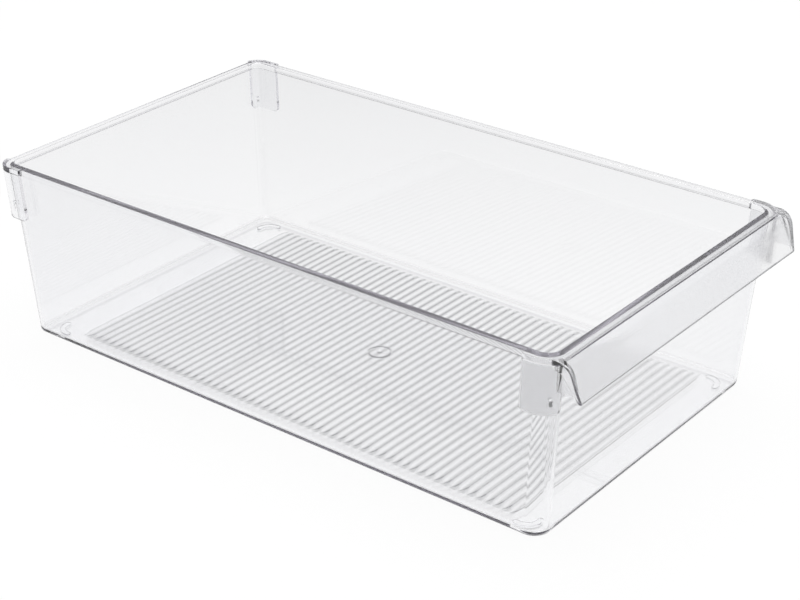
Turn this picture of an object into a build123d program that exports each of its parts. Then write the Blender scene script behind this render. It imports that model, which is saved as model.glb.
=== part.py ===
"""Clear injection-moulded fridge bin with a rolled-over pull handle along one short end.

Frame: origin at the bottom centre of the overall box, +X towards the handle, +Z up, millimetres.
Front is the handle end. Left and right are those of a person who faces the handle from outside.
"""

import os
from math import atan2, cos, degrees, radians, sin, sqrt, tan

from build123d import *

# Overall sizes
rim_length = 353.6  # outside of the rim, without the handle and the corner pads
rim_width = 203.0
overall_height = 101.4

# Wall, floor and draft
wall = 2.0
floor_thickness = 2.0
end_draft = 3.9  # degrees that the short walls lean inwards, towards the floor
side_draft = 2.5  # the same for the long walls
cavity_corner_front = 7.0  # radius of the cavity's upright corners at the handle end
cavity_corner_back = 3.8
floor_fillet = 1.6
base_fillet = 2.6

# Rim
rim_overhang = 2.2  # beyond the wall's outer face
rim_depth = 3.6
rim_edge_round = 0.7

# Corner pads and lugs, which lean in with the walls
pad_proud = 2.0  # beyond the rim's outer face
lug_thickness = 1.9
lug_reach_long = 16.0  # along the long side, from the rim's corner
lug_reach_short = 6.0
lug_height = 26.0  # below the rim
lug_tip_round = 2.5
gusset_depth = 7.0  # from the pad's outer face
gusset_height = 4.5
gusset_thickness = 1.6
gusset_rise = 3.0  # above the lug's lower edge
gusset_clearance = 0.4

# Pull handle
handle_thickness = 2.2
handle_bend_radius = 8.5
handle_turn = 74.0  # degrees from level to the apron's slope
handle_drop = 20.0
handle_end_inset = 0.6  # behind the rim's long sides
handle_end_taper = 4.0  # how much further in the ends are at the lower edge
flange_depth = 5.5  # of the flange along each end, narrowing to the lower edge
flange_thickness = 1.8
web_thickness = 1.8
web_inset = 4.2  # from the rim's long side to the web's middle
web_depth = 17.0  # below the rim's top

# Floor ribs
rib_pitch = 5.06
rib_count = 57
rib_width = 4.0
rib_crown = 1.4  # width of the flat along the top
rib_height = 0.6
rib_length = 169.0
rib_end_slope = 3.0  # length of the ramp at each end
rib_zone_shift = 3.3  # the ribs sit a little nearer the handle

# Gate mark
gate_radius = 6.0
gate_height = 0.7
gate_nub_radius = 1.3
gate_nub_height = 0.6
gate_clearance = 0.8

# Feet
foot_height = 1.0
foot_width = 3.0
foot_arc_radius = 7.3
foot_sweep = 105.0  # degrees
foot_inset_end = 16.5  # from the base's edge to the arc's centre
foot_inset_side = 15.0

# Worked out from the sizes above
rim_root = wall + rim_overhang  # from the cavity to the rim's outer face
cavity_length = rim_length - 2 * rim_root
cavity_width = rim_width - 2 * rim_root
handle_root = -(cavity_corner_front + rim_root)  # behind the rim's front, past its corners
floor_top = foot_height + floor_thickness
rim_underside = overall_height - rim_depth
turn_sin = sin(radians(handle_turn))
turn_cos = cos(radians(handle_turn))
lip_radius = handle_thickness / 2
handle_bend_drop = handle_bend_radius * (1 - turn_cos)
handle_run = (handle_drop - handle_bend_drop - lip_radius * (1 + turn_cos)) / turn_sin
handle_reach = handle_bend_radius * turn_sin + handle_run * turn_cos + lip_radius * (1 - turn_sin)
back_radius = cavity_corner_back + rim_root
pad_end = max(0.0, back_radius - lug_reach_short)  # round the arc from the short side
pad_reach = sqrt((back_radius + pad_proud) ** 2 - pad_end**2) - back_radius
tub_x = (pad_reach - handle_reach) / 2
rim_front = tub_x + rim_length / 2
handle_length = rim_width - 2 * handle_end_inset

CORNERS = {
    "front_left": (1, -1),
    "front_right": (1, 1),
    "back_left": (-1, -1),
    "back_right": (-1, 1),
}


def corner_radius(x_side, grow):
    """The radius of an upright corner on a form grown from the cavity."""
    if x_side > 0:
        return cavity_corner_front + grow
    return cavity_corner_back + grow


def drafted_size(z, grow):
    """The cavity's length and width at height z, grown by a wall."""
    drop = overall_height - z
    length = cavity_length - 2 * drop * tan(radians(end_draft)) + 2 * grow
    width = cavity_width - 2 * drop * tan(radians(side_draft)) + 2 * grow
    return length, width


def upright_edges(block):
    """The edges that run up a block, from the back to the front."""
    level = block.faces().filter_by(Axis.Z).edges()
    return ShapeList([edge for edge in block.edges() if edge not in level]).sort_by(Axis.X)


def drafted_block(bottom, top, grow=0.0):
    """The cavity's form from one height to another, grown by a wall, sharp at its base."""
    length, width = drafted_size(top, grow)
    block = Pos(tub_x, 0, (bottom + top) / 2) * Box(length, width, top - bottom)
    parting = Plane.XY.offset(top)
    block = draft(block.faces().filter_by(Axis.X), parting, -end_draft)
    long_sides = block.faces().filter_by(Axis.Y)
    block = draft(long_sides, parting, -side_draft)
    block = fillet(upright_edges(block)[:2], corner_radius(-1, grow))
    return fillet(upright_edges(block)[-2:], corner_radius(1, grow))


def round_base(block, radius):
    return fillet(block.faces().sort_by(Axis.Z)[0].edges(), radius)


def cavity():
    return round_base(drafted_block(floor_top, overall_height), floor_fillet)


def tub_block(grow=0.0):
    """The tub's outer form, sharp at its base."""
    return drafted_block(foot_height, rim_underside, wall + grow)


def tub_shell():
    return round_base(tub_block(), base_fillet) - cavity()


def corner_zone(x_side, y_side):
    """A rectangle over one corner of the rim, as long and wide as its pad and out past it."""
    length = lug_reach_long + 2 * pad_proud
    width = lug_reach_short + 2 * pad_proud
    x = tub_x + x_side * ((rim_length - length) / 2 + 2 * pad_proud)
    y = y_side * ((rim_width - width) / 2 + 2 * pad_proud)
    return Pos(x, y) * Rectangle(length, width)


def rim_outline(grow=0.0):
    """The rim's outer edge on the ground plane, without pads."""
    outline = Pos(tub_x, 0) * Rectangle(rim_length + 2 * grow, rim_width + 2 * grow)
    outline = fillet(outline.vertices().sort_by(Axis.X)[:2], corner_radius(-1, rim_root + grow))
    return fillet(outline.vertices().sort_by(Axis.X)[-2:], corner_radius(1, rim_root + grow))


def padded_outline():
    """The rim's outer edge, stepping out to a pad over each corner."""
    pads = [rim_outline(pad_proud) & corner_zone(*sides) for sides in CORNERS.values()]
    return Sketch() + [rim_outline(), *pads]


def rim_blank():
    """The rim and its pads before the mouth is cut."""
    return extrude(Pos(0, 0, rim_underside) * padded_outline(), rim_depth)


def rim_flange():
    ring = rim_blank() - cavity()
    mouth = ring.faces().sort_by(Axis.Z)[-1].inner_wires()[0]
    return fillet(mouth.edges(), rim_edge_round)


def lug_form(inward):
    """The form whose sides hold the lugs' outer faces, or parallel ones further in."""
    grow = rim_root + pad_proud - inward
    return drafted_block(rim_underside - lug_height, rim_underside, grow)


def corner_lug(x_side, y_side):
    """The curved skirt under one corner pad, with its gusset towards the wall."""
    zone = extrude(corner_zone(x_side, y_side), overall_height)
    skirt = (lug_form(0.0) - lug_form(lug_thickness)) & zone
    lower_edges = skirt.edges().group_by(Axis.Z)[0]
    straight = lower_edges.filter_by(GeomType.LINE)
    tips = straight.sort_by(SortBy.LENGTH)[:2]
    return fillet(tips, lug_tip_round) + corner_gusset(x_side, y_side)


def corner_gusset(x_side, y_side):
    """A small triangle on the skirt's inner face, ending just short of the wall's corner."""
    radius = corner_radius(x_side, rim_root)
    foot_z = rim_underside - lug_height + gusset_rise
    arc_x = tub_x + x_side * (rim_length / 2 - radius)
    arc_y = y_side * (rim_width / 2 - radius)
    diagonal = Vector(x_side, y_side).normalized()
    plane = Plane(origin=(arc_x, arc_y, foot_z), x_dir=diagonal, z_dir=diagonal.cross(Vector(0, 0, 1)))
    seat = radius + pad_proud
    tip = seat - gusset_depth
    triangle = Polygon((seat, 0), (seat, gusset_height), (tip, gusset_height), align=None)
    blank = extrude(plane * triangle, gusset_thickness / 2, both=True)
    return (blank & lug_form(lug_thickness / 2)) - tub_block(gusset_clearance)


def handle_path(inward):
    """Points down the apron's outer face, or down a parallel one further in.

    They are the end of the level part, the middle and end of the bend, and the tip, each
    as a distance in front of the rim and a height.
    """
    radius = handle_bend_radius - inward
    centre_z = overall_height - handle_bend_radius
    half_turn = radians(handle_turn / 2)
    level = (0.0, centre_z + radius)
    middle = (radius * sin(half_turn), centre_z + radius * cos(half_turn))
    bend = (radius * turn_sin, centre_z + radius * turn_cos)
    tip = (bend[0] + handle_run * turn_cos, bend[1] - handle_run * turn_sin)
    return level, middle, bend, tip


def handle_side(depth):
    """The apron's section, as thick as depth at the rim, and rounded at its lower edge."""
    level, middle, bend, tip = handle_path(0.0)
    inner_level, inner_middle, inner_bend, _ = handle_path(depth)
    inner_tip = handle_path(handle_thickness)[-1]
    lip = (
        (tip[0] + inner_tip[0]) / 2 + lip_radius * turn_cos,
        (tip[1] + inner_tip[1]) / 2 - lip_radius * turn_sin,
    )
    root = (handle_root, level[1])
    inner_root = (handle_root, inner_level[1])
    edges = [
        Line(root, level),
        ThreePointArc(level, middle, bend),
        Line(bend, tip),
        ThreePointArc(tip, lip, inner_tip),
        Line(inner_tip, inner_bend),
        ThreePointArc(inner_bend, inner_middle, inner_level),
        Line(inner_level, inner_root),
        Line(inner_root, root),
    ]
    return make_face(Curve() + edges)


def side_plane(y):
    """An upright plane along the tub, drawn in distances in front of the rim and heights."""
    return Plane(origin=(rim_front, y, 0), x_dir=(1, 0, 0), z_dir=(0, -1, 0))


def handle_front(inward=0.0):
    """A block as wide as the apron, or a little narrower, with its slanting ends."""
    top = handle_length / 2 - inward
    bottom = top - handle_end_taper
    low = overall_height - handle_drop
    outline = Polygon((-top, overall_height), (-bottom, low), (bottom, low), (top, overall_height), align=None)
    return extrude(Plane.YZ * outline, rim_length, both=True)


def lug_prism():
    """All that lies within the pads' outer faces, seen from above."""
    return extrude(rim_outline(pad_proud), overall_height)


def pull_handle():
    """The apron with a flange along each end, which fills the rim's front corners."""
    apron = extrude(side_plane(0) * handle_side(handle_thickness), handle_length / 2, both=True)
    flanges = extrude(side_plane(0) * handle_side(flange_depth), handle_length / 2, both=True)
    flanges = flanges - handle_front(flange_thickness) - lug_prism()
    return ((apron + flanges) & handle_front()) - rim_blank()


def handle_web(y_side, handle):
    """An upright web between the front lug and the inside of the apron and its flange."""
    level, middle, bend, tip = handle_path(handle_thickness)
    foot_z = overall_height - web_depth
    toe = (bend[0] + (bend[1] - foot_z) * turn_cos / turn_sin, foot_z)
    edges = [
        Line((handle_root, level[1]), level),
        ThreePointArc(level, middle, bend),
        Line(bend, toe),
        Line(toe, (handle_root, foot_z)),
        Line((handle_root, foot_z), (handle_root, level[1])),
    ]
    web_y = y_side * (rim_width / 2 - web_inset)
    blank = extrude(side_plane(web_y) * make_face(Curve() + edges), web_thickness / 2, both=True)
    return (blank & handle_front()) - lug_prism() - handle


def rib_side():
    """One rib's cross section, low and crowned, on a flat base."""
    half = rib_width / 2
    crown = rib_crown / 2
    return Polygon((-half, 0), (half, 0), (crown, rib_height), (-crown, rib_height), align=None)


def rib():
    """One rib along Y on the ground plane, with a ramp at each end."""
    half = rib_length / 2
    bar = extrude(Plane.XZ * rib_side(), half, both=True)
    envelope = Polygon(
        (-half, 0),
        (half, 0),
        (half - rib_end_slope, rib_height),
        (rib_end_slope - half, rib_height),
        align=None,
    )
    return bar & extrude(Plane.YZ * envelope, rib_width, both=True)


def floor_ribs():
    gate_hole = Pos(tub_x, 0, floor_top) * Cylinder(gate_radius + gate_clearance, 4 * rib_height)
    first = tub_x + rib_zone_shift - (rib_count - 1) / 2 * rib_pitch
    one_rib = rib()
    ribs = []
    for number in range(rib_count):
        x = first + number * rib_pitch
        bar = Pos(x, 0, floor_top) * one_rib
        if abs(x - tub_x) < gate_radius + gate_clearance + rib_width:
            bar = bar - gate_hole
        ribs.extend(bar.solids())
    return Compound(ribs)


def gate_mark():
    low = (Align.CENTER, Align.CENTER, Align.MIN)
    pad = Cylinder(gate_radius, gate_height, align=low)
    nub = Pos(0, 0, gate_height) * Cylinder(gate_nub_radius, gate_nub_height, align=low)
    return Pos(tub_x, 0, floor_top) * (pad + nub)


def foot(x_side, y_side):
    """A curved ridge under one corner of the floor, following the corner."""
    length, width = drafted_size(foot_height, wall)
    x = tub_x + x_side * (length / 2 - foot_inset_end)
    y = y_side * (width / 2 - foot_inset_side)
    towards_corner = degrees(atan2(y_side, x_side))
    start = towards_corner - foot_sweep / 2
    arc = CenterArc((0, 0), foot_arc_radius, start, foot_sweep)
    return extrude(Pos(x, y) * SlotArc(arc, foot_width), foot_height)


def build_parts():
    handle = pull_handle()
    parts = {
        "tub_shell": tub_shell(),
        "rim_flange": rim_flange(),
        "pull_handle": handle,
        "handle_web_left": handle_web(-1, handle),
        "handle_web_right": handle_web(1, handle),
        "floor_ribs": floor_ribs(),
        "gate_mark": gate_mark(),
    }
    for corner, sides in CORNERS.items():
        parts["corner_lug_" + corner] = corner_lug(*sides)
        parts["foot_" + corner] = foot(*sides)
    return parts


os.makedirs("parts", exist_ok=True)
for node, shape in build_parts().items():
    export_step(shape, "parts/" + node + ".step")
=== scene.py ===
from math import asin, atan2, cos, pi, radians, sin, sqrt, tan

import bmesh
import bpy
from mathutils import Matrix, Vector


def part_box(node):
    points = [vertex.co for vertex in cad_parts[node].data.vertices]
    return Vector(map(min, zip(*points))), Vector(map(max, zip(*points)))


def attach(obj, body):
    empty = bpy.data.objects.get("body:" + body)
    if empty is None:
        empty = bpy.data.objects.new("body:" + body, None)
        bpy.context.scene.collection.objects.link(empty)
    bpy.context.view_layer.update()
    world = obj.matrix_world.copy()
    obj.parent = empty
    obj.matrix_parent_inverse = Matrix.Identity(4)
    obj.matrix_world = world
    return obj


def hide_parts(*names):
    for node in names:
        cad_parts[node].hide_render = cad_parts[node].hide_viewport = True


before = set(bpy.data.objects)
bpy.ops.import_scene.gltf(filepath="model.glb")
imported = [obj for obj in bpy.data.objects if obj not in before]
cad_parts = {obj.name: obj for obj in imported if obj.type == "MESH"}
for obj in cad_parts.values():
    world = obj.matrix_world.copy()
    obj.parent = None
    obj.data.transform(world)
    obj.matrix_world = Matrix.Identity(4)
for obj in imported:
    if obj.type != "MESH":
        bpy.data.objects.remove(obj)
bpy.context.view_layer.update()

# The clear bin, in metres, in the frame of its solids: +X to the handle, +Z up.
RIM_LOW, RIM_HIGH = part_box("rim_flange")
TUB_LOW, TUB_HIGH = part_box("tub_shell")
RIB_LOW, RIB_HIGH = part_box("floor_ribs")
GATE_LOW, GATE_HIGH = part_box("gate_mark")
HANDLE_LOW, HANDLE_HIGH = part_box("pull_handle")
LUG_LOW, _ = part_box("corner_lug_back_left")
WEB_LOW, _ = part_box("handle_web_left")
FOOT_LOW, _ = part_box("foot_front_left")

# Wall, floor and draft
WALL = 0.0020
END_DRAFT = tan(radians(3.9))
SIDE_DRAFT = tan(radians(2.5))
CAVITY_CORNER = {1: 0.0070, -1: 0.0038}  # front and back
FLOOR_FILLET = 0.0016
BASE_FILLET = 0.0026
FILLET_STEPS = 6

# Rim
RIM_OVERHANG = 0.0022
RIM_ROOT = WALL + RIM_OVERHANG  # from the cavity to the rim's outer face
RIM_ROOT_FILLET = 0.0004
RIM_EDGE_ROUND = 0.0005
MOUTH_ROUND = 0.0007
MOUTH_STEPS = 3
ROUND_SHARE = 0.3  # how far a two-step round's middle ring lies along each of its faces

# Corner pads and the skirts under them
PAD_PROUD = 0.0020
PAD_REACH_LONG = 0.0160  # along the long side, from the rim's corner
PAD_REACH_SHORT = 0.0060
PAD_STEP = 0.0006  # length over which the rim steps out to a pad
PAD_STEPS = 14
SKIRT_THICKNESS = 0.0019
SKIRT_TIP_ROUND = 0.0025
SKIRT_EDGE_ROUND = 0.0006
SKIRT_EDGE_ANGLE = radians(50.0)  # from which an edge of a skirt is rounded
SKIRT_TIP_STEPS = (0.0, 0.0002, 0.0006, 0.0013, SKIRT_TIP_ROUND)
BARE_ARC_SHARES = (0.0, 0.35, 0.7, 1.0)  # the arc's stations short of the pad
GUSSET_DEPTH = 0.0070
GUSSET_HEIGHT = 0.0045
GUSSET_THICKNESS = 0.0016
GUSSET_RISE = 0.0030
GUSSET_EDGE_ROUND = 0.0004

# Pull handle
HANDLE_THICKNESS = 0.0022
HANDLE_BEND = 0.0085
HANDLE_TURN = radians(74.0)
HANDLE_STEPS = 14
HANDLE_ROOT = 0.0034  # how far back the apron reaches into the rim
HANDLE_TAPER = 0.0040  # how much further in the ends are at the lower edge
HANDLE_END_ROUND = 0.0005
FLANGE_DEPTH = 0.0055
FLANGE_THICKNESS = 0.0018
FLANGE_ROOT = 0.0026
LIP_STEPS = 8
ROOT_REACH = 0.0022  # how far the hollow curve under the apron runs from the rim
ROOT_STEPS = 6
WEB_THICKNESS = 0.0018
WEB_INSET = 0.0042

# Floor
RIB_COUNT = 57
RIB_PITCH = 0.00506
RIB_WIDTH = 0.0050
RIB_RAMP = 0.0050
RIB_RAMP_POWER = 0.6
RIB_TIP_SHARE = 0.03
RIB_POINTS_ALONG = 57
RIB_SECTION_POINTS = 26
GATE_PAD_HEIGHT = 0.0007
GATE_NUB_RADIUS = 0.0013
GATE_CLEARANCE = 0.0008  # bare floor round the pad
ROUND_STEPS = 48
FOOT_WIDTH = 0.0030
FOOT_ARC = 0.0073
FOOT_SWEEP = radians(105.0)
FOOT_STEPS = 12
FOOT_INSET_END = 0.0165
FOOT_INSET_SIDE = 0.0150
FOOT_EDGE_ROUND = 0.0003
SEAT_DEPTH = 0.0006  # how far an added form reaches into what carries it
SHARP_FROM = radians(32.0)

# Worked out from the solids
TOP = RIM_HIGH.z
RIM_UNDERSIDE = RIM_LOW.z
BASE = TUB_LOW.z
FLOOR_TOP = RIB_LOW.z
HANDLE_DROP = TOP - HANDLE_LOW.z
CENTRE_X = (TUB_LOW.x + TUB_HIGH.x) / 2
HALF_WIDTH = RIM_HIGH.y - PAD_PROUD
RIM_LEAN = (TOP - RIM_UNDERSIDE) * END_DRAFT
HALF_LENGTH = (TUB_HIGH.x - TUB_LOW.x) / 2 + RIM_LEAN + RIM_OVERHANG
RIB_CENTRE_X = (RIB_LOW.x + RIB_HIGH.x) / 2
RIB_HEIGHT = RIB_HIGH.z - RIB_LOW.z
GATE_CENTRE_X = (GATE_LOW.x + GATE_HIGH.x) / 2
GATE_RADIUS = (GATE_HIGH.x - GATE_LOW.x) / 2
RIM_FRONT = CENTRE_X + HALF_LENGTH
CORNERS = ((1, 1), (-1, 1), (-1, -1), (1, -1))

# Where the moulding is finely frosted, as a reach from near each corner of the rim
FROST_CORNER = 0.0096
FROST_REACH = 0.0088
FROST_TOP = 0.0003  # under the rim's underside
SKIRT_FROST = 0.22
APRON_FROST = 0.12

# The rest of the plastic: added roughness, random tone, and painted shade in the valleys between the floor's
# ribs
VALLEY_ROUGHNESS = 0.10
# Painted shade: the darker base colour midway between the floor's ribs, which draws their stripes
VALLEY_PAINTED_SHADE = (0.46, 0.46, 0.47, 1)
BASE_SCUFF = 0.4
SCUFF_MARGIN = 0.0002  # from the underside's flat, and from the floor's
CLEAR_COOL = (0.955, 0.958, 0.968, 1)
CLEAR_WARM = (0.975, 0.977, 0.980, 1)

# How much of the table's white is its own, where the rest is light that the bin can shade,
# and how strongly it mirrors what is over it to an eye that looks through the bin
SHADOWLESS_SHARE = 0.94
TABLE_IOR = 5.0
TABLE_REACH = 0.9
TABLE_DROP = 0.0002  # below the feet
WHITE = (1, 1, 1, 1)

# The lamp, in metres and watts
LAMP_PLACE = Vector((0.0, 0.1, 1.3))
LAMP_SIZE = (1.2, 0.8)
LAMP_POWER = 9.0
PATH_BOUNCES = 96

# Camera, where the photograph was taken from
CAMERA_PLACE = Vector((0.5607, -0.7065, 0.4984))
CAMERA_AZIMUTH = radians(38.036)
CAMERA_ELEVATION = radians(27.145)
CAMERA_LENS = 85.957


# Shader graphs


class Value:
    """A shader socket that takes part in Python arithmetic as Math nodes."""

    def __init__(self, graph, socket):
        self.graph = graph
        self.socket = socket

    def maths(self, operation, first, second):
        return self.graph.node("ShaderNodeMath", {"operation": operation}, {0: first, 1: second})

    def __add__(self, other):
        return self.maths("ADD", self, other)

    def __radd__(self, other):
        return self.maths("ADD", other, self)

    def __sub__(self, other):
        return self.maths("SUBTRACT", self, other)

    def __rsub__(self, other):
        return self.maths("SUBTRACT", other, self)

    def __mul__(self, other):
        return self.maths("MULTIPLY", self, other)

    def __rmul__(self, other):
        return self.maths("MULTIPLY", other, self)

    def __pow__(self, other):
        return self.maths("POWER", self, other)

    def __gt__(self, other):
        return self.maths("GREATER_THAN", self, other)

    def __lt__(self, other):
        return self.maths("LESS_THAN", self, other)

    def __abs__(self):
        return self.maths("ABSOLUTE", self, 0.0)

    def at_least(self, other):
        return self.maths("MAXIMUM", self, other)

    def cosine(self):
        return self.maths("COSINE", self, 0.0)

    def eased(self, source, target):
        """The value carried smoothly from one range to another, and held at its ends."""
        inputs = {"Value": self, "From Min": source[0], "From Max": source[1]}
        inputs |= {"To Min": target[0], "To Max": target[1]}
        return self.graph.node("ShaderNodeMapRange", {"interpolation_type": "SMOOTHSTEP"}, inputs)


class Graph:
    """A node tree, written as calls."""

    def __init__(self, tree):
        self.tree = tree
        tree.nodes.clear()

    def node(self, kind, settings=None, inputs=None, output=0):
        node = self.tree.nodes.new(kind)
        for name, value in (settings or {}).items():
            setattr(node, name, value)
        for name, value in (inputs or {}).items():
            self.feed(node.inputs[name], value)
        return Value(self, node.outputs[output]) if node.outputs else None

    def feed(self, socket, value):
        if isinstance(value, Value):
            self.tree.links.new(value.socket, socket)
        else:
            socket.default_value = value

    def axes(self, space):
        """X, Y and Z of a place, or of a direction in the world."""
        parts = self.tree.nodes.new("ShaderNodeSeparateXYZ")
        self.feed(parts.inputs[0], self.node("ShaderNodeTexCoord", output=space))
        return [Value(self, socket) for socket in parts.outputs]

    def light_path(self, kind):
        return self.node("ShaderNodeLightPath", output=kind)

    def mix_colour(self, factor, first, second):
        inputs = {"Factor": factor, 6: first, 7: second}
        return self.node("ShaderNodeMix", {"data_type": "RGBA"}, inputs, output=2)

    def object_noise(self, scale, detail):
        place = self.node("ShaderNodeTexCoord", output="Object")
        return self.node("ShaderNodeTexNoise", None, {"Vector": place, "Scale": scale, "Detail": detail})


def new_material(name):
    material = bpy.data.materials.new(name)
    material.use_nodes = True
    return material, Graph(material.node_tree)


def frosting(x, y, z):
    """Added roughness: a fine grain on the handle end's skirts and apron, and a scuffed base edge."""
    drop = RIM_UNDERSIDE - z
    past_end = (abs(x - CENTRE_X) + drop * END_DRAFT - HALF_LENGTH + FROST_CORNER).at_least(0.0)
    past_side = (abs(y) + drop * SIDE_DRAFT - HALF_WIDTH + FROST_CORNER).at_least(0.0)
    reach = (past_end * past_end + past_side * past_side) ** 0.5
    outside = (reach > FROST_REACH) * (drop > FROST_TOP) * (x > 0.0)
    apron = x > RIM_FRONT + HANDLE_THICKNESS
    base_edge = (z > BASE + SCUFF_MARGIN) * (z < FLOOR_TOP - SCUFF_MARGIN)
    return outside * (SKIRT_FROST + apron * (APRON_FROST - SKIRT_FROST)) + base_edge * BASE_SCUFF


def rib_valleys(x, y, z):
    """1 midway between two ribs and 0 along their crowns, and 0 off the ribbed field: where shade is painted
    into the valleys, and where they are rougher.
    """
    from_middle = x - RIB_CENTRE_X
    valley = 0.5 - 0.5 * (from_middle * (2 * pi / RIB_PITCH)).cosine()
    in_length = abs(from_middle) < (RIB_HIGH.x - RIB_LOW.x) / 2
    in_width = abs(y) < RIB_HIGH.y
    near_floor = abs(z - (FLOOR_TOP + RIB_HEIGHT / 2)) < RIB_HEIGHT
    return valley * in_length * in_width * near_floor


def clear_plastic():
    """Polished clear plastic, a touch cooler and hazier in places, with faint moulding waves and painted
    shade in the valleys between the floor's ribs.
    """
    material, graph = new_material("clear_plastic")
    axes = graph.axes("Object")
    frost = frosting(*axes)
    valleys = rib_valleys(*axes)
    clouds = graph.object_noise(scale=9.0, detail=2.0)
    base_colour = graph.mix_colour(clouds, CLEAR_COOL, CLEAR_WARM)
    # Painted shade: the base colour is darkened in the valleys between the floor's ribs
    base_colour = graph.mix_colour(valleys, base_colour, VALLEY_PAINTED_SHADE)
    haze = graph.object_noise(scale=60.0, detail=4.0)
    waves = graph.object_noise(scale=26.0, detail=1.0)
    surface = graph.node("ShaderNodeBump", None, {"Strength": 0.05, "Distance": 0.001, "Height": waves})
    plastic = graph.node(
        "ShaderNodeBsdfPrincipled",
        None,
        {
            "Base Color": base_colour,
            "Roughness": 0.012 + 0.02 * haze + frost + VALLEY_ROUGHNESS * valleys,
            "IOR": 1.58,
            "Transmission Weight": 1.0,
            "Normal": surface,
        },
    )
    absorption = {"Color": (0.81, 0.80, 0.83, 1), "Density": 32.0}
    depth = graph.node("ShaderNodeVolumeAbsorption", None, absorption)
    graph.node("ShaderNodeOutputMaterial", None, {"Surface": plastic, "Volume": depth})
    return material


def table_top():
    """A white table: near its own white and with a faint shadow to the eye, glossy through the bin."""
    material, graph = new_material("table_top")
    seen = graph.light_path("Is Camera Ray").at_least(graph.light_path("Is Glossy Ray"))
    through = graph.light_path("Is Transmission Ray")
    white = graph.node("ShaderNodeEmission", None, {"Color": WHITE, "Strength": 1.0})
    gloss = graph.node("ShaderNodeBsdfGlossy", None, {"Color": WHITE, "Roughness": 0.01})
    sheen = graph.node("ShaderNodeFresnel", None, {"IOR": TABLE_IOR})
    matt = graph.node("ShaderNodeBsdfDiffuse", None, {"Color": (0.9, 0.9, 0.9, 1)})
    sheet = graph.node("ShaderNodeMixShader", None, {0: sheen, 1: white, 2: gloss})
    plain = graph.node("ShaderNodeMixShader", None, {0: seen * SHADOWLESS_SHARE, 1: matt, 2: white})
    top = graph.node("ShaderNodeMixShader", None, {0: through, 1: plain, 2: sheet})
    graph.node("ShaderNodeOutputMaterial", None, {"Surface": top})
    return material


def studio_world():
    """White to the eye, and to the bin a soft room: dim low down, bright above and ahead, softer overhead."""
    world = bpy.data.worlds.new("studio")
    world.use_nodes = True
    graph = Graph(world.node_tree)
    ahead, _, height = graph.axes("Generated")
    overhead = height.eased((0.10, 0.48), (0.08, 1.0))
    window = ahead.eased((0.1, 0.7), (0.0, 1.0))
    zenith = height.eased((0.62, 0.95), (1.0, 0.75))
    room = overhead.at_least(window) * zenith
    seen = graph.light_path("Is Camera Ray")
    level = room * (1 - seen) + seen
    light = graph.node("ShaderNodeBackground", None, {"Color": WHITE, "Strength": level})
    graph.node("ShaderNodeOutputWorld", None, {"Surface": light})
    bpy.context.scene.world = world


# Meshes


def new_object(name, mesh):
    thing = bpy.data.objects.new(name, mesh)
    bpy.context.scene.collection.objects.link(thing)
    return thing


def mesh_from(name, build):
    """A mesh object from a bmesh that build fills, with its faces turned outwards."""
    work = bmesh.new()
    build(work)
    bmesh.ops.recalc_face_normals(work, faces=work.faces)
    mesh = bpy.data.meshes.new(name)
    work.to_mesh(mesh)
    work.free()
    return new_object(name, mesh)


def baked(thing):
    """Applies the modifiers of an object by swapping in its evaluated mesh."""
    bpy.context.view_layer.update()
    graph = bpy.context.evaluated_depsgraph_get()
    mesh = bpy.data.meshes.new_from_object(thing.evaluated_get(graph))
    thing.modifiers.clear()
    old = thing.data
    thing.data = mesh
    bpy.data.meshes.remove(old)
    return thing


def join_to(thing, operand, operation="UNION"):
    """Unites a form with the moulding, or cuts it away, and discards the operand."""
    cut = thing.modifiers.new("join", "BOOLEAN")
    cut.object = operand
    cut.operation = operation
    cut.solver = "MANIFOLD"
    baked(thing)
    bpy.data.objects.remove(operand)
    return thing


def bevelled(thing, width, segments=2, angle=40.0):
    bevel = thing.modifiers.new("edges", "BEVEL")
    bevel.width = width
    bevel.segments = segments
    bevel.limit_method = "ANGLE"
    bevel.angle_limit = radians(angle)
    return baked(thing)


def prism(work, first, second):
    """A closed form between two like outlines."""
    low = [work.verts.new(point) for point in first]
    high = [work.verts.new(point) for point in second]
    count = len(low)
    for k in range(count):
        n = (k + 1) % count
        work.faces.new((low[k], low[n], high[n], high[k]))
    work.faces.new(low[::-1])
    work.faces.new(high)


# The tub with its rim, pads and skirts, as one loft of rings


def arc_centre(x_side, drop=0.0):
    """How far from the tub's middle a corner's arc is centred, on walls that lean in over the drop."""
    radius = CAVITY_CORNER[x_side] + RIM_ROOT
    return HALF_LENGTH - radius - drop * END_DRAFT, HALF_WIDTH - radius - drop * SIDE_DRAFT


def pad_stations(x_side):
    """Stations along a pad, from its end on the arc to its end on the long side.

    Each is a distance past the arc, an angle round it and a distance from the pad's nearer end.
    """
    rim = CAVITY_CORNER[x_side] + RIM_ROOT
    outer = rim + PAD_PROUD
    first = asin((rim - PAD_REACH_SHORT) / outer)
    arc = outer * (pi / 2 - first)
    span = arc + PAD_REACH_LONG - rim
    alongs = [arc * (step + 1) / PAD_STEPS for step in range(PAD_STEPS)]
    alongs += list(SKIRT_TIP_STEPS) + [span - step for step in SKIRT_TIP_STEPS]
    stations = []
    for along in sorted(alongs):
        angle = min(pi / 2, first + along / outer)
        stations.append((max(0.0, along - arc), angle, min(along, span - along)))
    return stations


def corner_stations(x_side):
    """Stations round a corner from its short side to its long side, with bare rim either side of the pad."""
    pad = pad_stations(x_side)
    first = pad[0][1]
    step = PAD_STEP / (CAVITY_CORNER[x_side] + RIM_ROOT)
    bare = [(0.0, (first - step) * share, None) for share in BARE_ARC_SHARES]
    return bare + pad + [(pad[-1][0] + PAD_STEP, pi / 2, None)]


STATIONS = {x_side: corner_stations(x_side) for x_side in (1, -1)}
RING_CORNER = len(STATIONS[1])


def around_corner(x_side, y_side):
    """A corner's stations in the order that the rings pass them."""
    stations = STATIONS[x_side]
    return stations if x_side * y_side > 0 else stations[::-1]


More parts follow.
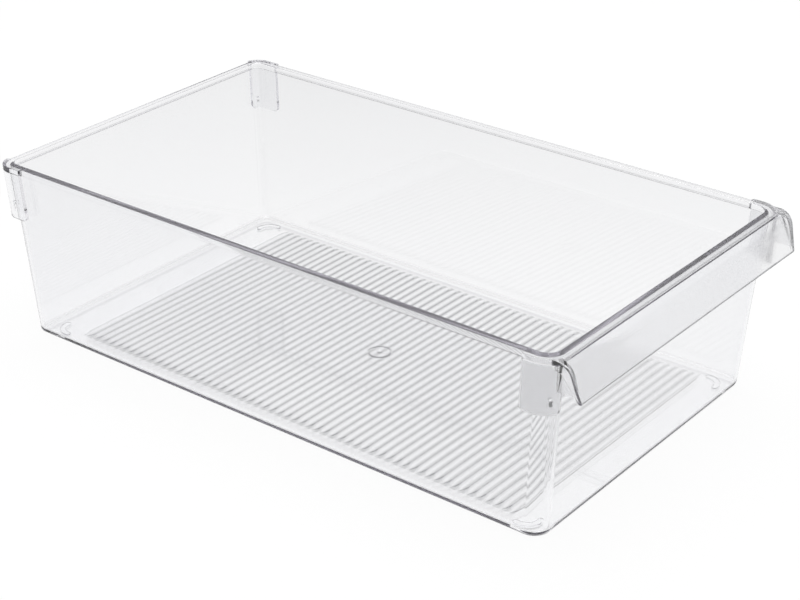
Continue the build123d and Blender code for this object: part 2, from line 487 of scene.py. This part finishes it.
def ring(z, grow, drop=0.0, pad=0.0, skirt_grow=None):
    """Points round the tub at height z, on the cavity's form grown outwards.

    The walls lean in over the drop. pad is added where there are pads, and skirt_grow
    takes the place of both there.
    """
    points = []
    for x_side, y_side in CORNERS:
        arc_x, arc_y = arc_centre(x_side, drop)
        for distance, angle, from_end in around_corner(x_side, y_side):
            padded = from_end is not None
            grown = grow + pad if padded else grow
            grown = skirt_grow if padded and skirt_grow else grown
            radius = CAVITY_CORNER[x_side] + grown
            x = arc_x + radius * cos(angle) - distance
            y = arc_y + radius * sin(angle)
            points.append(Vector((CENTRE_X + x_side * x, y_side * y, z)))
    return points


def fillet_rings(grow, fillet, bottom):
    """Rings round the bottom of a wall, from its tangent down to the flat."""
    rings = []
    for step in range(FILLET_STEPS + 1):
        turn = pi / 2 * step / FILLET_STEPS
        z = bottom + fillet * (1 - sin(turn))
        rings.append(ring(z, grow - fillet * (1 - cos(turn)), TOP - z))
    return rings


def tub_rings():
    """Every ring from the middle of the underside round to the floor's, and the skirts' place in them."""
    edge = RIM_EDGE_ROUND
    root = RIM_ROOT_FILLET
    outer = RIM_ROOT + PAD_PROUD
    rings = fillet_rings(WALL, BASE_FILLET, BASE)[::-1]
    rings.append(ring(RIM_UNDERSIDE - root, WALL))
    rings.append(ring(RIM_UNDERSIDE - ROUND_SHARE * root, WALL + ROUND_SHARE * root))
    rings.append(ring(RIM_UNDERSIDE, WALL + root))
    rings.append(ring(RIM_UNDERSIDE, RIM_ROOT - edge, skirt_grow=outer - SKIRT_THICKNESS))
    skirt_row = len(rings) - 1
    rings.append(ring(RIM_UNDERSIDE + ROUND_SHARE * edge, RIM_ROOT - ROUND_SHARE * edge, skirt_grow=outer))
    rings.append(ring(RIM_UNDERSIDE + edge, RIM_ROOT, pad=PAD_PROUD))
    rings.append(ring(TOP - edge, RIM_ROOT, pad=PAD_PROUD))
    rings.append(ring(TOP - ROUND_SHARE * edge, RIM_ROOT - ROUND_SHARE * edge, pad=PAD_PROUD))
    rings.append(ring(TOP, RIM_ROOT - edge, pad=PAD_PROUD))
    for step in range(MOUTH_STEPS + 1):
        turn = pi / 2 * step / MOUTH_STEPS
        z = TOP - MOUTH_ROUND * (1 - cos(turn))
        rings.append(ring(z, MOUTH_ROUND * (1 - sin(turn)), TOP - z))
    return rings + fillet_rings(0.0, FLOOR_FILLET, FLOOR_TOP), skirt_row


def lowered(work, vert, from_end, sides):
    """A vertex on a skirt's lower edge, which leans in and rises at its two rounded tips."""
    lift = max(0.0, SKIRT_TIP_ROUND - from_end)
    z = LUG_LOW.z + SKIRT_TIP_ROUND - sqrt(SKIRT_TIP_ROUND**2 - lift**2)
    lean = Vector((sides[0] * END_DRAFT, sides[1] * SIDE_DRAFT, 1.0))
    return work.verts.new(vert.co - lean * (vert.co.z - z))


def hang_skirt(work, inner, outer, from_ends, sides):
    """A skirt under two lines of the rim's vertices."""
    low_inner = [lowered(work, vert, end, sides) for vert, end in zip(inner, from_ends)]
    low_outer = [lowered(work, vert, end, sides) for vert, end in zip(outer, from_ends)]
    for k in range(len(inner) - 1):
        work.faces.new((inner[k], inner[k + 1], low_inner[k + 1], low_inner[k]))
        work.faces.new((outer[k + 1], outer[k], low_outer[k], low_outer[k + 1]))
        work.faces.new((low_inner[k], low_inner[k + 1], low_outer[k + 1], low_outer[k]))
    for k in (0, -1):
        work.faces.new((inner[k], low_inner[k], low_outer[k], outer[k]))


def build_tub(work):
    rings, skirt_row = tub_rings()
    loops = [[work.verts.new(point) for point in points] for points in rings]
    padded = []
    for corner in CORNERS:
        padded += [from_end is not None for _, _, from_end in around_corner(*corner)]
    count = len(padded)
    for row, (low, high) in enumerate(zip(loops, loops[1:])):
        for k in range(count):
            n = (k + 1) % count
            over_skirt = row == skirt_row and padded[k] and padded[n]
            if not over_skirt:
                work.faces.new((low[k], low[n], high[n], high[k]))
    work.faces.new(loops[0][::-1])
    work.faces.new(loops[-1])
    for number, sides in enumerate(CORNERS):
        stations = around_corner(*sides)
        held = [k for k in range(RING_CORNER) if stations[k][2] is not None]
        inner = [loops[skirt_row][number * RING_CORNER + k] for k in held]
        outer = [loops[skirt_row + 1][number * RING_CORNER + k] for k in held]
        hang_skirt(work, inner, outer, [stations[k][2] for k in held], sides)
    weigh_skirt_edges(work)


def weigh_skirt_edges(work):
    """Marks the skirts' free edges, which are the only ones of the tub to be rounded."""
    weight = work.edges.layers.float.new("bevel_weight_edge")
    for edge in work.edges:
        lowest = min(vert.co.z for vert in edge.verts)
        in_skirt = BASE + BASE_FILLET < lowest < LUG_LOW.z + SKIRT_TIP_ROUND + SEAT_DEPTH
        if in_skirt and edge.calc_face_angle(0.0) > SKIRT_EDGE_ANGLE:
            edge[weight] = 1.0


def moulded_tub():
    tub = mesh_from("tub", build_tub)
    round_edges = tub.modifiers.new("skirt_edges", "BEVEL")
    round_edges.limit_method = "WEIGHT"
    round_edges.width = SKIRT_EDGE_ROUND
    round_edges.segments = 2
    return baked(tub)


# The pull handle and its webs


def handle_line(inward):
    """Points down the apron's outer face, or a parallel one further in, to its lower edge."""
    lip = HANDLE_THICKNESS / 2
    level = HANDLE_DROP - HANDLE_BEND * (1 - cos(HANDLE_TURN)) - lip * (1 + cos(HANDLE_TURN))
    run = level / sin(HANDLE_TURN)
    radius = HANDLE_BEND - inward
    centre = Vector((RIM_FRONT, 0, TOP - HANDLE_BEND))
    points = []
    for step in range(HANDLE_STEPS + 1):
        turn = HANDLE_TURN * step / HANDLE_STEPS
        points.append(centre + radius * Vector((sin(turn), 0, cos(turn))))
    points.append(points[-1] + run * Vector((cos(HANDLE_TURN), 0, -sin(HANDLE_TURN))))
    return points


def handle_outline(depth, root):
    """The apron's section, as thick as depth at the rim, from inside the rim to its lip and back."""
    outer = handle_line(0.0)
    inner = handle_line(depth)[:-1] + handle_line(HANDLE_THICKNESS)[-1:]
    middle = (outer[-1] + inner[-1]) / 2
    lip = []
    for step in range(1, LIP_STEPS):
        turn = HANDLE_TURN + pi * step / LIP_STEPS
        lip.append(middle + HANDLE_THICKNESS / 2 * Vector((sin(turn), 0, cos(turn))))
    back = [Vector((RIM_FRONT - root, 0, RIM_UNDERSIDE)), Vector((RIM_FRONT - root, 0, TOP))]
    return outer + lip + inner[:0:-1] + root_fillet(depth) + back


def root_fillet(depth):
    """The hollow curve under the apron where it leaves the rim's front."""
    if depth > TOP - RIM_UNDERSIDE:
        return [Vector((RIM_FRONT, 0, TOP - depth)), Vector((RIM_FRONT - FLANGE_ROOT, 0, TOP - depth))]
    height = TOP - depth - RIM_UNDERSIDE
    points = []
    for step in range(ROOT_STEPS + 1):
        turn = pi / 2 * step / ROOT_STEPS
        across = ROOT_REACH * (1 - sin(turn))
        points.append(Vector((RIM_FRONT + across, 0, RIM_UNDERSIDE + height * cos(turn))))
    return points


def handle_end(z, inward=0.0):
    """How far along Y the apron's slanting end is at a height, or a parallel one further in."""
    return HANDLE_HIGH.y - inward - HANDLE_TAPER * (TOP - z) / HANDLE_DROP


def pull_handle():
    section = handle_outline(HANDLE_THICKNESS, HANDLE_ROOT)
    ends = [[Vector((p.x, side * handle_end(p.z), p.z)) for p in section] for side in (-1, 1)]
    handle = mesh_from("handle", lambda work: prism(work, *ends))
    for side in (-1, 1):
        join_to(handle, end_flange(side))
    return bevelled(handle, HANDLE_END_ROUND, segments=3, angle=60.0)


def end_flange(side):
    """A flange along one end of the apron, deep at the rim and fading into the lip."""
    section = handle_outline(FLANGE_DEPTH, FLANGE_ROOT)
    inner = [Vector((p.x, side * handle_end(p.z, FLANGE_THICKNESS), p.z)) for p in section]
    outer = [Vector((p.x, side * handle_end(p.z), p.z)) for p in section]
    return mesh_from("flange", lambda work: prism(work, inner, outer))


def handle_web(side):
    """An upright web from the front skirt to just inside the apron's thickness."""
    inner = handle_line(HANDLE_THICKNESS - SEAT_DEPTH)
    foot = WEB_LOW.z
    toe_x = inner[-2].x + (inner[-2].z - foot) / tan(HANDLE_TURN)
    back_x = WEB_LOW.x - SEAT_DEPTH
    section = [Vector((back_x, 0, inner[0].z))] + inner[:-1]
    section += [Vector((toe_x, 0, foot)), Vector((back_x, 0, foot))]
    near = HALF_WIDTH - WEB_INSET - WEB_THICKNESS / 2
    low = [Vector((p.x, side * near, p.z)) for p in section]
    high = [Vector((p.x, side * min(near + WEB_THICKNESS, handle_end(p.z)), p.z)) for p in section]
    return mesh_from("web", lambda work: prism(work, low, high))


def gusset(x_side, y_side):
    """A small triangle inside a skirt, near its lower edge."""
    diagonal = Vector((x_side, y_side, 0)).normalized()
    across = Vector((-diagonal.y, diagonal.x, 0)) * GUSSET_THICKNESS / 2
    foot = LUG_LOW.z + GUSSET_RISE
    lean = (END_DRAFT + SIDE_DRAFT) / sqrt(2) * (RIM_UNDERSIDE - foot)
    arc_x, arc_y = arc_centre(x_side)
    centre = Vector((CENTRE_X + x_side * arc_x, y_side * arc_y, foot))
    outside = CAVITY_CORNER[x_side] + RIM_ROOT + PAD_PROUD
    seat = outside - lean - SKIRT_THICKNESS / 2
    up = Vector((0, 0, GUSSET_HEIGHT))
    outline = [
        centre + diagonal * seat,
        centre + diagonal * seat + up,
        centre + diagonal * (outside - GUSSET_DEPTH) + up,
    ]
    low = [point - across for point in outline]
    high = [point + across for point in outline]
    form = mesh_from("gusset", lambda work: prism(work, low, high))
    return bevelled(form, GUSSET_EDGE_ROUND)


# The floor's ribs, gate mark and feet


def geometry_node(tree, kind, settings=None, inputs=None):
    node = tree.nodes.new(kind)
    for name, value in (settings or {}).items():
        setattr(node, name, value)
    for name, value in (inputs or {}).items():
        if hasattr(value, "is_output"):
            tree.links.new(value, node.inputs[name])
        else:
            node.inputs[name].default_value = value
    return node


def rib_tree(material):
    """Low rounded ribs in a row, each fading out at both ends."""
    tree = bpy.data.node_groups.new("floor_ribs", "GeometryNodeTree")
    interface = tree.interface
    for name, kind in (
        ("Count", "NodeSocketInt"),
        ("Pitch", "NodeSocketFloat"),
        ("Length", "NodeSocketFloat"),
        ("Width", "NodeSocketFloat"),
        ("Height", "NodeSocketFloat"),
        ("Ramp", "NodeSocketFloat"),
    ):
        interface.new_socket(name, in_out="INPUT", socket_type=kind)
    interface.new_socket("Ribs", in_out="OUTPUT", socket_type="NodeSocketGeometry")

    def node(kind, settings=None, inputs=None):
        return geometry_node(tree, kind, settings, inputs)

    def maths(operation, first, second):
        return node("ShaderNodeMath", {"operation": operation}, {0: first, 1: second}).outputs[0]

    given = tree.nodes.new("NodeGroupInput").outputs
    half = maths("MULTIPLY", given["Length"], 0.5)
    start = node("ShaderNodeCombineXYZ", None, {"Y": maths("MULTIPLY", half, -1.0)}).outputs[0]
    end = node("ShaderNodeCombineXYZ", None, {"Y": half}).outputs[0]
    line = node("GeometryNodeCurvePrimitiveLine", {"mode": "POINTS"}, {"Start": start, "End": end})
    along = {"Curve": line.outputs[0], "Count": RIB_POINTS_ALONG}
    spaced = node("GeometryNodeResampleCurve", {"mode": "COUNT"}, along)
    spline = tree.nodes.new("GeometryNodeSplineParameter").outputs
    to_end = maths("SUBTRACT", given["Length"], spline["Length"])
    nearest = maths("MINIMUM", spline["Length"], to_end)
    share = maths("MINIMUM", maths("DIVIDE", nearest, given["Ramp"]), 1.0)
    fullness = maths("MAXIMUM", maths("POWER", share, RIB_RAMP_POWER), RIB_TIP_SHARE)
    circle = node(
        "GeometryNodeCurvePrimitiveCircle",
        {"mode": "RADIUS"},
        {"Resolution": RIB_SECTION_POINTS, "Radius": maths("MULTIPLY", given["Width"], 0.5)},
    )
    spot = node("ShaderNodeSeparateXYZ", None, {0: tree.nodes.new("GeometryNodeInputPosition").outputs[0]})
    across = maths("DIVIDE", spot.outputs["X"], given["Width"])
    swing = maths("COSINE", maths("MULTIPLY", across, 2 * pi), 0.0)
    crown = maths("MULTIPLY", maths("ADD", swing, 1.0), maths("MULTIPLY", given["Height"], 0.5))
    above = maths("GREATER_THAN", spot.outputs["Y"], 0.0)
    level = maths("SUBTRACT", maths("MULTIPLY", maths("ADD", crown, SEAT_DEPTH), above), SEAT_DEPTH)
    moved = node("ShaderNodeCombineXYZ", None, {"X": spot.outputs["X"], "Y": level}).outputs[0]
    section = node("GeometryNodeSetPosition", None, {"Geometry": circle.outputs[0], "Position": moved})
    sweep = {"Curve": spaced.outputs[0], "Profile Curve": section.outputs[0]}
    sweep |= {"Scale": fullness, "Fill Caps": True}
    bar = node("GeometryNodeCurveToMesh", None, sweep)
    steps = maths("SUBTRACT", given["Count"], 1.0)
    first_x = maths("MULTIPLY", maths("MULTIPLY", steps, given["Pitch"]), -0.5)
    first = node("ShaderNodeCombineXYZ", None, {"X": first_x}).outputs[0]
    pitch = node("ShaderNodeCombineXYZ", None, {"X": given["Pitch"]}).outputs[0]
    spacing = {"Count": given["Count"], "Start Location": first, "Offset": pitch}
    row = node("GeometryNodeMeshLine", {"mode": "OFFSET"}, spacing)
    copies = {"Points": row.outputs[0], "Instance": bar.outputs[0]}
    placed = node("GeometryNodeInstanceOnPoints", None, copies)
    real = node("GeometryNodeRealizeInstances", None, {"Geometry": placed.outputs[0]})
    done = node("GeometryNodeSetMaterial", None, {"Geometry": real.outputs[0], "Material": material})
    tree.links.new(done.outputs[0], tree.nodes.new("NodeGroupOutput").inputs[0])
    return tree


def floor_ribs(material):
    """The row of ribs, placed on the floor and cleared round the gate mark."""
    ribs = new_object("ribs", bpy.data.meshes.new("ribs"))
    maker = ribs.modifiers.new("ribs", "NODES")
    maker.node_group = rib_tree(material)
    sizes = {
        "Count": RIB_COUNT,
        "Pitch": RIB_PITCH,
        "Length": RIB_HIGH.y - RIB_LOW.y,
        "Width": RIB_WIDTH,
        "Height": RIB_HEIGHT,
        "Ramp": RIB_RAMP,
    }
    for item in maker.node_group.interface.items_tree:
        if item.in_out == "INPUT":
            maker[item.identifier] = sizes[item.name]
    baked(ribs)
    ribs.data.transform(Matrix.Translation((RIB_CENTRE_X, 0, FLOOR_TOP)))
    radius = GATE_RADIUS + GATE_CLEARANCE
    depth = 4 * RIB_HEIGHT
    section = [(radius, -depth), (radius, depth)]
    return join_to(ribs, turned("gate_hole", section, GATE_CENTRE_X, FLOOR_TOP), "DIFFERENCE")


def turned(name, section, x, z):
    """A round form about an upright axis, from (radius, height) points going up."""

    def build(work):
        loops = []
        for radius, height in section:
            loop = []
            for k in range(ROUND_STEPS):
                angle = 2 * pi * k / ROUND_STEPS
                loop.append(work.verts.new((x + radius * cos(angle), radius * sin(angle), z + height)))
            loops.append(loop)
        for low, high in zip(loops, loops[1:]):
            for k in range(ROUND_STEPS):
                n = (k + 1) % ROUND_STEPS
                work.faces.new((low[k], low[n], high[n], high[k]))
        work.faces.new(loops[0][::-1])
        work.faces.new(loops[-1])

    return mesh_from(name, build)


def gate_mark():
    """A low round pad with a rounded edge and a nub where the plastic was fed in."""
    nub_height = GATE_HIGH.z - GATE_LOW.z
    pad = GATE_PAD_HEIGHT
    section = [
        (GATE_RADIUS, -SEAT_DEPTH),
        (GATE_RADIUS, 0.4 * pad),
        (GATE_RADIUS - 0.15 * pad, 0.75 * pad),
        (GATE_RADIUS - 0.5 * pad, pad),
        (GATE_NUB_RADIUS + 0.3 * pad, pad),
        (GATE_NUB_RADIUS, pad + 0.15 * pad),
        (GATE_NUB_RADIUS, nub_height - 0.2 * pad),
        (0.7 * GATE_NUB_RADIUS, nub_height),
    ]
    return turned("gate", section, GATE_CENTRE_X, FLOOR_TOP)


def polar(radius, angle):
    return Vector((radius * cos(angle), radius * sin(angle), 0))


def foot_outline(towards):
    """A bent strip with round ends about its arc's centre, facing an angle."""
    half = FOOT_SWEEP / 2
    reach = FOOT_WIDTH / 2
    bend = [towards - half + FOOT_SWEEP * step / FOOT_STEPS for step in range(FOOT_STEPS + 1)]
    turns = [pi * step / LIP_STEPS for step in range(1, LIP_STEPS)]
    outline = [polar(FOOT_ARC + reach, angle) for angle in bend]
    outline += [polar(FOOT_ARC, bend[-1]) + polar(reach, bend[-1] + turn) for turn in turns]
    outline += [polar(FOOT_ARC - reach, angle) for angle in bend[::-1]]
    outline += [polar(FOOT_ARC, bend[0]) + polar(reach, bend[0] + pi + turn) for turn in turns]
    return outline


def foot(x_side, y_side):
    """A curved ridge under a corner of the floor, following the corner."""
    half_length = HALF_LENGTH - RIM_OVERHANG - (TOP - BASE) * END_DRAFT
    half_width = HALF_WIDTH - RIM_OVERHANG - (TOP - BASE) * SIDE_DRAFT
    x = CENTRE_X + x_side * (half_length - FOOT_INSET_END)
    y = y_side * (half_width - FOOT_INSET_SIDE)
    centre = Vector((x, y, FOOT_LOW.z))
    low = [centre + point for point in foot_outline(atan2(y_side, x_side))]
    up = Vector((0, 0, BASE + SEAT_DEPTH - FOOT_LOW.z))
    high = [point + up for point in low]
    ridge = mesh_from("foot", lambda work: prism(work, low, high))
    return bevelled(ridge, FOOT_EDGE_ROUND, angle=60.0)


# The whole moulding


def smooth_faces(thing):
    """Rounded stretches shade smoothly, flats stay flat, and real edges stay sharp."""
    mesh = thing.data
    for face in mesh.polygons:
        face.use_smooth = True
    mesh.set_sharp_from_angle(angle=SHARP_FROM)
    weigh = thing.modifiers.new("flats", "WEIGHTED_NORMAL")
    weigh.keep_sharp = True
    weigh.weight = 100
    return baked(thing)


def clear_bin(material):
    """Every feature united with the tub, because faces inside clear plastic would show."""
    bin_body = moulded_tub()
    bin_body.name = "clear_bin"
    forms = [pull_handle(), handle_web(-1), handle_web(1), gate_mark()]
    forms += [gusset(*corner) for corner in CORNERS]
    forms += [foot(*corner) for corner in CORNERS]
    forms.append(floor_ribs(material))
    for form in forms:
        join_to(bin_body, form)
    bin_body.data.materials.clear()
    bin_body.data.materials.append(material)
    smooth_faces(bin_body)
    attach(bin_body, "root")
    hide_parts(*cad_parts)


# Studio


def studio_floor():
    def sheet(work):
        bmesh.ops.create_grid(work, x_segments=1, y_segments=1, size=TABLE_REACH)

    table = mesh_from("table", sheet)
    table.data.transform(Matrix.Translation((0, 0, -TABLE_DROP)))
    table.data.materials.append(table_top())


def overhead_light():
    """A wide lamp that shines on the scene but isn't itself seen through the bin."""
    lamp = bpy.data.lights.new("overhead", "AREA")
    lamp.shape = "RECTANGLE"
    lamp.size, lamp.size_y = LAMP_SIZE
    lamp.energy = LAMP_POWER
    light = new_object("overhead", lamp)
    light.location = LAMP_PLACE
    light.rotation_euler = (-LAMP_PLACE).to_track_quat("-Z", "Y").to_euler()
    light.visible_transmission = False


def photo_camera():
    data = bpy.data.cameras.new("camera")
    data.sensor_width = 36.0
    data.lens = CAMERA_LENS
    data.clip_start = 0.01
    camera = new_object("camera", data)
    camera.location = CAMERA_PLACE
    camera.rotation_euler = (pi / 2 - CAMERA_ELEVATION, 0, CAMERA_AZIMUTH)
    bpy.context.scene.camera = camera


def light_paths():
    """Clear walls seen through clear walls need long paths."""
    cycles = bpy.context.scene.cycles
    cycles.max_bounces = PATH_BOUNCES
    cycles.transmission_bounces = PATH_BOUNCES
    cycles.glossy_bounces = PATH_BOUNCES


photo_camera()
studio_world()
studio_floor()
overhead_light()
light_paths()
clear_bin(clear_plastic())
bpy.context.scene.view_settings.view_transform = "Standard"
